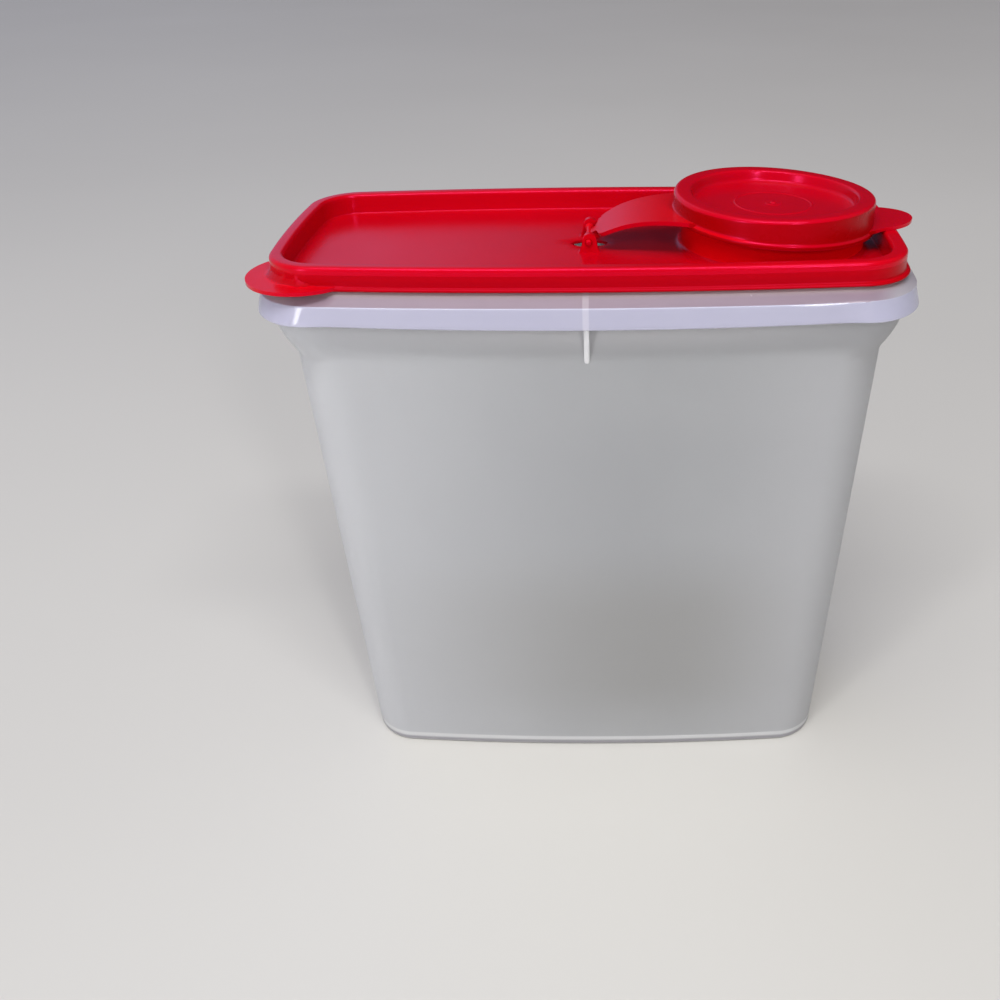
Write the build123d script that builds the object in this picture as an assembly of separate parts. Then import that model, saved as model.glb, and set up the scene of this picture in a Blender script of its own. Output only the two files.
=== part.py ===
from build123d import *
import math
import os

# Tall slim cereal container: translucent tapered body, red press-fit lid with a pour
# neck, and a red flip cap hinged on the lid by a thin cross pin.
# Origin: centre of the base, on the surface that it stands on. +X towards the
# pouring end, +Y towards the back, +Z up. Millimetres.

# ---------------------------------------------------------------- driving sizes
# body wall, outer outline (half length, half width, bow of long side, bow of end, corner)
BASE_A, BASE_B, BASE_BOW, BASE_END, BASE_R = 106.1, 47.5, 4.9, 2.8, 19.9
TOP_A, TOP_B, TOP_BOW, TOP_END, TOP_R = 117.0, 51.2, 5.6, 3.1, 20.4
WALL_TOP_Z = 229.2          # level at which the wall runs into the seal rim
WALL_T = 1.6                # body wall
FLOOR_T = 1.8               # body base panel
FOOT_H = 0.8                # base panel stands this far off the table
FOOT_W = 4.0                # width of the foot ring
# lid, outer outline at its side wall
LID_A, LID_B, LID_BOW, LID_END, LID_R = 119.9, 53.9, 5.4, 3.1, 20.5
LID_TOP_Z = 237.9           # top of the rim
LID_LOW_Z = 229.4           # lower edge of the rim's outer wall
LID_T = 1.4                 # wall of the lid
RIM_W = 5.5                 # width across the hollow rim
TRAY_D = 8.3                # depth of the recessed tray
LID_BEAD = 1.1              # flared bead at the rim's lower edge
# collar of the body
BAND_OFF = 5.3              # the band stands this far outside the lid's wall
BAND_TOP_Z, BAND_LOW_Z = 224.7, 217.2
BAND_T = 1.4
RIM_CLEAR = 0.35            # seal rim to lid channel, each side
RIM_TOP_Z = 236.2           # top of the body's seal rim
RIM_T = 2.0
# end walls flare out under the band: height, how far they stand out there
FLARE = [(198.4, 0.0), (199.4, 0.35), (200.6, 1.05), (202.0, 1.95), (205.0, 3.75), (208.0, 5.15), (211.0, 6.05),
         (214.0, 6.6), (BAND_LOW_Z, 6.9)]
DRAFT = 1.9                 # the band's lower edge stands out this much more at its ends
RIB_T, RIB_LOW_Z = 2.3, 200.6
# pour neck and flip cap
CAP_X = 73.2                # axis of neck and cap
NECK_R, NECK_T = 36.0, 1.6  # outer radius and wall
NECK_TOP_Z = 247.5
CAP_TOP_Z = 249.8
CAP_TILT = 1.5              # degrees, cap and neck top fall towards +X
CAP_R, CAP_T = 39.8, 1.4
DISH_R, DISH_D = 33.0, 4.5  # dished top of the cap
LIP_Z, LIP_TILT, LIP_H, LIP_OUT = 241.0, 4.8, 2.2, 0.6
RING_R = 15.0               # raised circle in the dish
# hinge
PIN_X, PIN_Z, PIN_R = 0.5, 233.6, 1.3
PIN_CLEAR = 0.05            # running clearance of the pin in the ears
EAR_IN, EAR_OUT, EAR_X, EAR_W, EAR_H = 8.8, 11.4, 0.8, 6.0, 7.4
PIN_END = 12.6              # pin ends stand out of the ears by this half length
ARM_T = 1.6
LENS_L, LENS_W, LENS_Y = 15.0, 9.4, 0.6
# tabs
LID_TAB_X, LID_TAB_Y, LID_TAB_R, TAB_T = -106.0, -35.5, 22.0, 1.4
CAP_TAB_TIP, CAP_TAB_Z = 128.0, 238.35

TRAY_Z = LID_TOP_Z - TRAY_D
FLOOR_LOW_Z = TRAY_Z - LID_T


# ---------------------------------------------------------------- plan outlines
class Plan:
    """Rounded rectangle whose sides are shallow arcs, tangent to the corner arcs."""

    def __init__(self, a, b, bow_long, bow_end, r, radii=None):
        self.a, self.b, self.r = a, b, r
        if radii:
            self.rl, self.re = radii
        else:
            self.rl = (a * a + bow_long * bow_long) / (2 * bow_long)
            self.re = (b * b + bow_end * bow_end) / (2 * bow_end)

    def off(self, d):
        """Parallel outline, d mm further out (inwards if negative)."""
        return Plan(self.a + d, self.b + d, 0, 0, self.r + d, (self.rl + d, self.re + d))

    def points(self):
        a, b, r, rl, re = self.a, self.b, self.r, self.rl, self.re
        c1, c2 = (0.0, b - rl), (a - re, 0.0)
        q1, q2 = rl - r, re - r
        dx, dy = c2[0] - c1[0], c2[1] - c1[1]
        dist = math.hypot(dx, dy)
        ux, uy = dx / dist, dy / dist
        h = (q1 * q1 - q2 * q2 + dist * dist) / (2 * dist)
        k = math.sqrt(max(q1 * q1 - h * h, 0.0))
        px, py = c1[0] + h * ux, c1[1] + h * uy
        best = max(((px - k * uy, py + k * ux), (px + k * uy, py - k * ux)),
                   key=lambda p: min(p))
        cx, cy = best
        n1 = math.hypot(cx - c1[0], cy - c1[1])
        n2 = math.hypot(cx - c2[0], cy - c2[1])
        t1 = (c1[0] + (cx - c1[0]) / n1 * rl, c1[1] + (cy - c1[1]) / n1 * rl)
        t2 = (c2[0] + (cx - c2[0]) / n2 * re, c2[1] + (cy - c2[1]) / n2 * re)
        a1 = math.atan2(t1[1] - cy, t1[0] - cx)
        a2 = math.atan2(t2[1] - cy, t2[0] - cx)
        am = (a1 + a2) / 2
        tm = (cx + r * math.cos(am), cy + r * math.sin(am))
        return t1, tm, t2

    def wire(self, z):
        (x1, y1), (xm, ym), (x2, y2) = self.points()

        def arc(p, q, s):
            return Edge.make_three_point_arc((p[0], p[1], z), (q[0], q[1], z), (s[0], s[1], z))
        edges = [
            arc((x2, -y2), (self.a, 0), (x2, y2)),
            arc((x2, y2), (xm, ym), (x1, y1)),
            arc((x1, y1), (0, self.b), (-x1, y1)),
            arc((-x1, y1), (-xm, ym), (-x2, y2)),
            arc((-x2, y2), (-self.a, 0), (-x2, -y2)),
            arc((-x2, -y2), (-xm, -ym), (-x1, -y1)),
            arc((-x1, -y1), (0, -self.b), (x1, -y1)),
            arc((x1, -y1), (xm, -ym), (x2, -y2)),
        ]
        return Wire(edges)

    def slab(self, z0, z1):
        return extrude(Face(self.wire(z0)), amount=z1 - z0, dir=(0, 0, 1))


def skin(*sections):
    """Straight-sided solid through (plan, z) sections."""
    out = None
    for (p, z), (q, w) in zip(sections, sections[1:]):
        s = Solid.make_loft([p.wire(z), q.wire(w)], ruled=True)
        out = s if out is None else out + s
    return Part() + out


def lerp(p, q, t):
    return p + (q - p) * t


def wall_plan(z, grow=0.0):
    """Outer outline of the tapered wall at height z; grow lengthens the ends only."""
    t = z / WALL_TOP_Z
    return Plan(lerp(BASE_A, TOP_A, t) + grow, lerp(BASE_B, TOP_B, t), lerp(BASE_BOW, TOP_BOW, t),
                lerp(BASE_END, TOP_END, t), lerp(BASE_R, TOP_R, t))


def rounded(part, z, radius, lo=True, tol=0.05, keep=None):
    """Fillet every edge that lies wholly at height z."""
    pick = [e for e in part.edges()
            if abs(e.bounding_box().min.Z - z) < tol and abs(e.bounding_box().max.Z - z) < tol
            and (keep is None or keep(e))]
    return fillet(pick, radius) if pick else part


lid_plan = Plan(LID_A, LID_B, LID_BOW, LID_END, LID_R)

# ---------------------------------------------------------------- container
rim_out = lid_plan.off(-(LID_T + RIM_CLEAR))
rim_in = rim_out.off(-RIM_T)
band = lid_plan.off(BAND_OFF)

shell = skin((wall_plan(0), 0), (wall_plan(WALL_TOP_Z - 2.0), WALL_TOP_Z - 2.0))
shell = rounded(shell, 0, 2.2)
rim = rim_out.slab(225.0, RIM_TOP_Z)
rim = rounded(rim, RIM_TOP_Z, 0.6)
ledge = skin((band, BAND_TOP_Z), (rim_out, LID_LOW_Z - 0.35))
band_low = Plan(band.a + DRAFT, band.b, 0, 0, band.r, (band.rl, band.re))
skirt = skin((band_low, BAND_LOW_Z), (band, BAND_TOP_Z))
hollow = skin((band.off(-BAND_T), BAND_TOP_Z - BAND_T * 0.9), (rim_out, LID_LOW_Z - 1.95)) \
    + skin((band_low.off(-BAND_T), BAND_LOW_Z - 1), (band.off(-BAND_T), BAND_TOP_Z - BAND_T * 0.9))
collar = ledge + skirt - hollow

# end walls flare out under the band; the flare's first section lies inside the wall
steps = [(FLARE[0][0] - 1.2, -0.9)] + FLARE[1:]
flare = skin(*[(wall_plan(z, d), z) for z, d in steps])
flare = flare + wall_plan(BAND_LOW_Z, FLARE[-1][1]).slab(BAND_LOW_Z, BAND_TOP_Z + 0.4)
flare = flare & (Pos(0, 0, 210) * Box(400, 2 * (BASE_B + 1.0), 60))

container = shell + rim + collar + flare

# gusset ribs at the middle of the long sides, between the wall and the band
for side in (-1, 1):
    yb = band.b - BAND_T / 2
    prof = Plane.YZ * make_face(Polyline([
        (side * (BASE_B - 1.5), RIB_LOW_Z), (side * (TOP_B - 0.6), RIB_LOW_Z),
        (side * (TOP_B + 1.1), RIB_LOW_Z + 4.0), (side * (TOP_B + 2.4), BAND_LOW_Z - 6),
        (side * yb, BAND_LOW_Z + 0.3), (side * yb, BAND_TOP_Z - 0.7),
        (side * (rim_out.b - 1.0), 227.8), (side * (BASE_B - 1.5), 227.8)], close=True))
    container += extrude(prof, amount=RIB_T / 2, both=True)

# hollow inside: tapered cavity, then the straight bore of the seal rim
cavity = skin((wall_plan(FLOOR_T + FOOT_H).off(-WALL_T), FLOOR_T + FOOT_H),
              (wall_plan(227.2).off(-WALL_T), 227.2))
cavity = rounded(cavity, FLOOR_T + FOOT_H, 2.5)
container = container - cavity - rim_in.slab(227.0, RIM_TOP_Z + 1)
# base panel recessed inside the foot ring
foot = wall_plan(0).off(-(2.2 + FOOT_W))
container = container - foot.slab(-1, FOOT_H)

# ---------------------------------------------------------------- lid
lid = lid_plan.slab(LID_LOW_Z, LID_TOP_Z)
lid = rounded(lid, LID_TOP_Z, 1.5)
bead = lid_plan.off(LID_BEAD).slab(LID_LOW_Z, LID_LOW_Z + 1.9)
bead = rounded(bead, LID_LOW_Z + 1.9, 0.9)
bead = rounded(bead, LID_LOW_Z, 0.5)
lid = lid + bead
lid = lid + lid_plan.off(-(RIM_W - LID_T)).slab(FLOOR_LOW_Z, LID_LOW_Z + 1)
# thumb tab at the front left corner
tab = Pos(LID_TAB_X, LID_TAB_Y, LID_LOW_Z + 0.1 + TAB_T / 2) * Cylinder(LID_TAB_R, TAB_T)
tab = fillet(tab.edges().filter_by(GeomType.CIRCLE), 0.6)
lid = lid + (tab - lid_plan.off(-0.4).slab(LID_LOW_Z - 1, LID_LOW_Z + 4))
# recessed tray
tray = lid_plan.off(-RIM_W).slab(TRAY_Z, LID_TOP_Z + 1)
tray = rounded(tray, TRAY_Z, 1.6)
lid = lid - tray
inner_edge = [e for e in lid.edges()
              if abs(e.bounding_box().min.Z - LID_TOP_Z) < 0.05 and abs(e.bounding_box().max.Z - LID_TOP_Z) < 0.05
              and abs(e.center().X) < LID_A - RIM_W + 0.5 and abs(e.center().Y) < LID_B - RIM_W + 0.5]
lid = fillet(inner_edge, 1.5)
# hollow channel that the body's rim seats in
channel = lid_plan.off(-LID_T).slab(FLOOR_LOW_Z - 2, LID_TOP_Z - LID_T) \
    - lid_plan.off(-(RIM_W - LID_T)).slab(FLOOR_LOW_Z - 3, LID_TOP_Z)
lid = lid - channel

# pour neck: outer tube with a foot fillet and a seal bead at its tilted mouth
cap_plane = Plane(origin=(CAP_X, 0, NECK_TOP_Z), z_dir=(math.sin(math.radians(CAP_TILT)), 0,
                                                         math.cos(math.radians(CAP_TILT))), x_dir=(
    math.cos(math.radians(CAP_TILT)), 0, -math.sin(math.radians(CAP_TILT))))
neck_face = make_face(Plane.XZ * Polyline([
    (0, TRAY_Z - 0.5), (NECK_R + 2.2, TRAY_Z - 0.5), (NECK_R + 2.2, TRAY_Z), (NECK_R + 1.1, TRAY_Z + 0.35),
    (NECK_R + 0.35, TRAY_Z + 1.1), (NECK_R, TRAY_Z + 2.4), (NECK_R - 0.1, 260), (0, 260)], close=True))
neck = Pos(CAP_X, 0, 0) * revolve(neck_face, Axis.Z)
above = cap_plane * (Pos(0, 0, 25) * Box(200, 200, 50))
mouth = cap_plane * (Pos(0, 0, -1.2) * Cylinder(NECK_R + 1.0, 2.4))
mouth = fillet(mouth.edges().filter_by(GeomType.CIRCLE), 0.9)
neck = (neck - above) + mouth
bore = Pos(CAP_X, 0, 235) * Cylinder(NECK_R - NECK_T, 60)
lid = lid + neck - bore

# hinge ears with arched tops and flared feet
pin_hole = Pos(PIN_X, 0, PIN_Z) * Rot(90, 0, 0) * Cylinder(PIN_R + PIN_CLEAR, 40)
for side in (-1, 1):
    zt = TRAY_Z + EAR_H
    ear_r = EAR_W / 2
    ear = Pos(EAR_X, 0, zt - ear_r) * Rot(90, 0, 0) * Cylinder(ear_r, EAR_OUT - EAR_IN)
    ear += Pos(EAR_X, 0, (zt - ear_r + TRAY_Z - 0.5) / 2) * Box(EAR_W, EAR_OUT - EAR_IN, zt - ear_r - TRAY_Z + 0.5)
    foot_face = Plane.XZ * make_face(Polyline([
        (EAR_X - ear_r - 1.0, TRAY_Z - 0.5), (EAR_X - ear_r - 1.0, TRAY_Z), (EAR_X - ear_r - 0.25, TRAY_Z + 0.4),
        (EAR_X - ear_r, TRAY_Z + 1.2), (EAR_X + ear_r, TRAY_Z + 1.2), (EAR_X + ear_r + 0.25, TRAY_Z + 0.4),
        (EAR_X + ear_r + 1.0, TRAY_Z), (EAR_X + ear_r + 1.0, TRAY_Z - 0.5)], close=True))
    ear += extrude(foot_face, amount=(EAR_OUT - EAR_IN) / 2, both=True)
    lid += Pos(0, side * (EAR_IN + EAR_OUT) / 2, 0) * ear
lid = lid - pin_hole
# lens-shaped core-out hole between the ears
lens_r = (LENS_L ** 2 / 4 + LENS_W ** 2 / 4) / LENS_W
lens = (Pos(PIN_X, LENS_Y + lens_r - LENS_W / 2, TRAY_Z) * Cylinder(lens_r, 12)) \
    & (Pos(PIN_X, LENS_Y - lens_r + LENS_W / 2, TRAY_Z) * Cylinder(lens_r, 12))
lid = lid - lens

# ---------------------------------------------------------------- pour cap
t = math.radians(CAP_TILT)
top = Plane(origin=(CAP_X, 0, CAP_TOP_Z), z_dir=(math.sin(t), 0, math.cos(t)), x_dir=(math.cos(t), 0, -math.sin(t)))
t2 = math.radians(LIP_TILT)
lip_x = CAP_X - math.tan(t) * (CAP_TOP_Z - LIP_Z + LIP_H)     # on the cap's own tilted axis
lip_low = Plane(origin=(lip_x, 0, LIP_Z - LIP_H), z_dir=(math.sin(t2), 0, math.cos(t2)),
                x_dir=(math.cos(t2), 0, -math.sin(t2)))
body_c = Pos(0, 0, -10) * Cylinder(CAP_R, 20)
body_c = fillet(body_c.faces().sort_by(Axis.Z)[-1].edges(), 1.4)
dish_profile = make_face(Plane.XZ * Polyline([
    (0, 1), (DISH_R + 0.6, 1), (DISH_R + 0.6, 0), (DISH_R - 0.5, -1.1), (DISH_R - 1.2, -DISH_D + 1.3),
    (DISH_R - 2.4, -DISH_D), (0, -DISH_D)], close=True))
dish = revolve(dish_profile, Axis.Z)
plug_profile = make_face(Plane.XZ * Polyline([
    (0, -DISH_D - 1.3), (DISH_R - 1.2, -DISH_D - 1.3), (DISH_R + 0.2, -DISH_D + 0.9), (DISH_R + 1.0, -CAP_T),
    (CAP_R - CAP_T, -CAP_T), (CAP_R - CAP_T, -30), (0, -30)], close=True))
under = revolve(plug_profile, Axis.Z)
crown = top * (body_c - dish)
lip = lip_low * (Pos(0, 0, LIP_H / 2) * Cylinder(CAP_R + LIP_OUT, LIP_H))
lip = fillet(lip.edges().filter_by(GeomType.CIRCLE), 0.45)
below = lip_low * (Pos(0, 0, LIP_H / 2 - 15) * Box(120, 120, 30))
cap = (crown - below) + lip
cap = cap - top * under
# raised circle and centre mark in the dish
cap += top * (Pos(0, 0, -DISH_D) * (Cylinder(RING_R + 0.45, 0.5) - Cylinder(RING_R - 0.45, 0.5)))
cap += top * (Pos(0, 0, -DISH_D) * (Cylinder(3.2, 0.35)))
cap += top * (Pos(0, 0, -DISH_D + 0.3) * (Cylinder(1.1, 0.7)))

# lift tab towards +X
tab_plan = Pos(0, 0, CAP_TAB_Z) * make_face(Wire([
    Edge.make_line((104, -21), (110.5, -17.2)), Edge.make_spline([(110.5, -17.2), (114.5, -14.2), (119.5, -12.6),
                                                                 (124.6, -8.8), (CAP_TAB_TIP, 0), (124.6, 8.8),
                                                                 (119.5, 12.6), (114.5, 14.2), (110.5, 17.2)]),
    Edge.make_line((110.5, 17.2), (104, 21)), Edge.make_line((104, 21), (104, -21))]))
cap_tab = extrude(tab_plan, amount=1.3, dir=(0, 0, 1))
cap_tab = cap_tab - Pos(CAP_X, 0, 240) * Cylinder(CAP_R - 0.9, 20)
cap += cap_tab

# arched arm from the cross pin up to the cap
arm_top = [(1.2, 234.75), (2.4, 235.5), (3.6, 236.3), (5, 237.1), (8, 238.8), (11, 240.2), (14, 241.35), (17, 242.2),
           (20, 242.85), (23, 243.3), (26, 243.65), (29, 243.85), (32, 243.95), (35, 244.0), (42, 244.0)]
arm_low = [(2.2, 233.4), (3.2, 234.35), (4.3, 235.1), (5.6, 235.75), (8.6, 237.35), (11.5, 238.65), (14.4, 239.75),
           (17.3, 240.6), (20.2, 241.25), (23.1, 241.7), (26, 242.05), (29, 242.25), (32, 242.35), (35, 242.4),
           (42, 242.4)]
side_face = Plane.XZ * make_face(Wire([
    Edge.make_spline([(x, z) for x, z in arm_top]),
    Edge.make_line(arm_top[-1], arm_low[-1]),
    Edge.make_spline([(x, z) for x, z in arm_low[::-1]]),
    Edge.make_line(arm_low[0], arm_top[0])]))
arm_w = [(0.6, 2.4), (2.6, 2.6), (3.6, 4.2), (4.3, 7.6), (5.3, 10.6), (8, 12.7), (11, 14.0), (14, 15.0), (17, 15.7),
         (20, 16.4), (23, 17.1), (26, 17.9), (29, 18.7), (32, 19.5), (35, 20.4), (38, 21.5), (41, 22.8)]
plan_face = make_face(Wire([
    Edge.make_spline([(x, w) for x, w in arm_w]), Edge.make_line((41, 22.8), (41, -22.8)),
    Edge.make_spline([(x, -w) for x, w in arm_w[::-1]]), Edge.make_line((0.6, -2.4), (0.6, 2.4))]))
arm = extrude(side_face, amount=30, both=True) & extrude(Pos(0, 0, 225) * plan_face, amount=30, dir=(0, 0, 1))
arm = arm - top * (Pos(0, 0, -15) * Cylinder(CAP_R - 0.7, 30))
pin = Pos(PIN_X, 0, PIN_Z) * Rot(90, 0, 0) * Cylinder(PIN_R, 2 * PIN_END)
pin = fillet(pin.edges().filter_by(GeomType.CIRCLE), 1.0)
cap = cap + arm + pin

# ---------------------------------------------------------------- write
os.makedirs("parts", exist_ok=True)
for name, shape in (("container", container), ("lid", lid), ("pour_cap", cap)):
    solids = shape.solids()
    print(name, len(solids), [round(s.volume / 1000, 2) for s in solids])
    body = solids[0] if len(solids) == 1 else max(solids, key=lambda s: s.volume)
    bb = body.bounding_box()
    print("   ", [round(v, 2) for v in (bb.min.X, bb.max.X, bb.min.Y, bb.max.Y, bb.min.Z, bb.max.Z)], body.is_valid)
    export_step(body, "parts/" + name + ".step")
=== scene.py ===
import math

import bmesh
import bpy
import numpy as np
from mathutils import Matrix, Vector
from mathutils.geometry import delaunay_2d_cdt


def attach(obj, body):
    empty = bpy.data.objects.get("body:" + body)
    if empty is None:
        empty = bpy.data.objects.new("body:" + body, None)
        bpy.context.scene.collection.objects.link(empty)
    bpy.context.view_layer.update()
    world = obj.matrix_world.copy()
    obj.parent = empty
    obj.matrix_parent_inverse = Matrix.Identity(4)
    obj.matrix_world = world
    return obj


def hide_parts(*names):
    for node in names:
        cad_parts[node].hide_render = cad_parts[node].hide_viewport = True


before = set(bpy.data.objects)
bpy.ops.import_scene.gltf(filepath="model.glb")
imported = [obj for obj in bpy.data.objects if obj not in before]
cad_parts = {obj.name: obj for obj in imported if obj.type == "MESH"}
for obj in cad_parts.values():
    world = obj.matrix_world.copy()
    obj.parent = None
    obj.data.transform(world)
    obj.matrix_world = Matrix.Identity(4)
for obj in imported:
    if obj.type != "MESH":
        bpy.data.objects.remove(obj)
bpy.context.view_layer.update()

MM = 0.001
scene = bpy.context.scene

# ---------------------------------------------------------------- camera
CAM = (9.15, -413.7, 363.2)
PITCH, YAW, ROLL = (math.radians(a) for a in (31.633, 1.095, -0.868))
fwd = Vector((-math.sin(YAW) * math.cos(PITCH), math.cos(YAW) * math.cos(PITCH), -math.sin(PITCH)))
side = Vector((math.cos(YAW), math.sin(YAW), 0.0))
upward = side.cross(fwd)
right = side * math.cos(ROLL) + upward * math.sin(ROLL)
top = -side * math.sin(ROLL) + upward * math.cos(ROLL)
cam_data = bpy.data.cameras.new("camera")
camera = bpy.data.objects.new("camera", cam_data)
scene.collection.objects.link(camera)
m = Matrix.Identity(4)
for i in range(3):
    m[i][0], m[i][1], m[i][2], m[i][3] = right[i], top[i], -fwd[i], CAM[i] * MM
camera.matrix_world = m
cam_data.sensor_fit = "HORIZONTAL"
cam_data.sensor_width = 36.0
cam_data.lens = 37.8
cam_data.shift_x = -0.095
cam_data.clip_start = 0.01
cam_data.clip_end = 50
scene.camera = camera

# ---------------------------------------------------------------- sizes, millimetres
BASE = (106.1, 47.5, 4.9, 2.8, 19.9)
WALL_TOP = (117.0, 51.2, 5.6, 3.1, 20.4)
WALL_TOP_Z, WALL_T, FLOOR_T, FOOT_H, FOOT_W = 229.2, 1.6, 1.8, 0.8, 4.0
LID = (119.9, 53.9, 5.4, 3.1, 20.5)
LID_TOP_Z, LID_LOW_Z, LID_T, RIM_W, LID_BEAD = 237.9, 229.4, 1.4, 5.5, 1.1
TRAY_Z = 229.6
FLOOR_LOW_Z = TRAY_Z - LID_T
BAND_OFF, BAND_TOP_Z, BAND_LOW_Z, BAND_T = 5.3, 224.7, 217.2, 1.4
RIM_TOP_Z, RIM_T, RIM_CLEAR = 236.2, 2.0, 0.35
FLARE = [(198.4, 0.0), (199.4, 0.35), (200.6, 1.05), (202.0, 1.95), (205.0, 3.75), (208.0, 5.15), (211.0, 6.05),
         (214.0, 6.6), (217.2, 6.9)]                       # height, how far the end walls stand out there
DRAFT = 1.9                                                # the collar's lower edge stands out this much more at its ends
RIB_T, RIB_LOW_Z = 2.3, 200.6
CAP_X, NECK_R, NECK_T, NECK_TOP_Z = 73.2, 36.0, 1.6, 247.5
CAP_TOP_Z, CAP_TILT, CAP_R, CAP_T = 249.8, 1.5, 39.8, 1.4
DISH_R, DISH_D, RING_R = 33.0, 4.5, 15.0
LIP_Z, LIP_TILT, LIP_H, LIP_OUT = 241.0, 4.8, 2.2, 0.6
PIN_X, PIN_Z, PIN_R, PIN_CLEAR, PIN_END = 0.5, 233.6, 1.3, 0.05, 12.6
EAR_IN, EAR_OUT, EAR_X, EAR_H, ARM_T = 8.8, 11.4, 0.8, 7.4, 1.6
LENS_L, LENS_W, LENS_Y = 15.0, 9.4, 0.6
TAB = (-105.5, -35.5, 21.7, 1.4)
CAP_TAB_TIP, CAP_TAB_Z = 128.0, 238.35


# ---------------------------------------------------------------- outlines
class Plan:
    """Rounded rectangle whose sides are shallow arcs, tangent to the corner arcs."""

    def __init__(self, a, b, bow_long, bow_end, r, radii=None):
        self.a, self.b, self.r = a, b, r
        if radii:
            self.rl, self.re = radii
        else:
            self.rl = (a * a + bow_long * bow_long) / (2 * bow_long)
            self.re = (b * b + bow_end * bow_end) / (2 * bow_end)

    def off(self, d):
        return Plan(self.a + d, self.b + d, 0, 0, self.r + d, (self.rl + d, self.re + d))

    def loop(self):
        """Points anticlockwise from the lower end of the +X side, always the same number."""
        a, b, r, rl, re = self.a, self.b, self.r, self.rl, self.re
        c1, c2 = (0.0, b - rl), (a - re, 0.0)
        q1, q2 = rl - r, re - r
        dx, dy = c2[0] - c1[0], c2[1] - c1[1]
        dist = math.hypot(dx, dy)
        ux, uy = dx / dist, dy / dist
        h = (q1 * q1 - q2 * q2 + dist * dist) / (2 * dist)
        k = math.sqrt(max(q1 * q1 - h * h, 0.0))
        px, py = c1[0] + h * ux, c1[1] + h * uy
        cx, cy = max(((px - k * uy, py + k * ux), (px + k * uy, py - k * ux)), key=lambda p: min(p))
        a_end = math.atan2(cy - c2[1], cx - c2[0])          # where the end arc meets the corner
        a_long = math.atan2(cy - c1[1], cx - c1[0])         # where the corner meets the long arc
        quarter = [(c2[0] + re * math.cos(t), c2[1] + re * math.sin(t)) for t in np.linspace(0, a_end, N_END + 1)]
        quarter += [(cx + r * math.cos(t), cy + r * math.sin(t))
                    for t in np.linspace(a_end, a_long, N_CORNER + 1)[1:]]
        quarter += [(c1[0] + rl * math.cos(t), c1[1] + rl * math.sin(t))
                    for t in np.linspace(a_long, math.pi / 2, N_LONG + 1)[1:]]
        q = np.array(quarter)
        q2_ = q[::-1] * (-1, 1)
        q3 = q * (-1, -1)
        q4 = q[::-1] * (1, -1)
        return np.vstack([q, q2_[1:], q3[1:], q4[1:-1]])


N_END, N_CORNER, N_LONG = 12, 22, 34
lid_plan = Plan(*LID)
rim_out = lid_plan.off(-(LID_T + RIM_CLEAR))
rim_in = rim_out.off(-RIM_T)
band = lid_plan.off(BAND_OFF)


def wall_plan(z, grow=0.0):
    t = z / WALL_TOP_Z
    v = [p + (q - p) * t for p, q in zip(BASE, WALL_TOP)]
    return Plan(v[0] + grow, v[1], v[2], v[3], v[4])


def flare_at(z):
    """How far the end walls stand out of their taper, up to the collar."""
    return float(np.interp(z, [h for h, _ in FLARE], [d for _, d in FLARE]))


def smooth(s):
    s = min(max(s, 0.0), 1.0)
    return s * s * (3 - 2 * s)


def collar(d, z):
    """Points of the hanging collar d mm off the band line at height z; its ends lean outwards towards the bottom."""
    pts = band.off(d).loop()
    out = pts - band.off(d - 1.0).loop()
    lean = DRAFT * min(max((224.3 - z) / 7.1, 0.0), 1.0)
    share = np.array([smooth((abs(x) - 92.0) / 20.0) for x, _ in pts])
    pts = pts + out * (lean * share)[:, None]
    drop = 0.85 * smooth((223.0 - z) / 5.0) * np.clip(1 - (pts[:, 0] / 96.0) ** 2, 0.0, 1.0)
    return np.column_stack([pts, z - drop])


def arc(cx, cy, r, a0, a1, n):
    return [(cx + r * math.cos(math.radians(t)), cy + r * math.sin(math.radians(t))) for t in np.linspace(a0, a1, n)]


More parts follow.
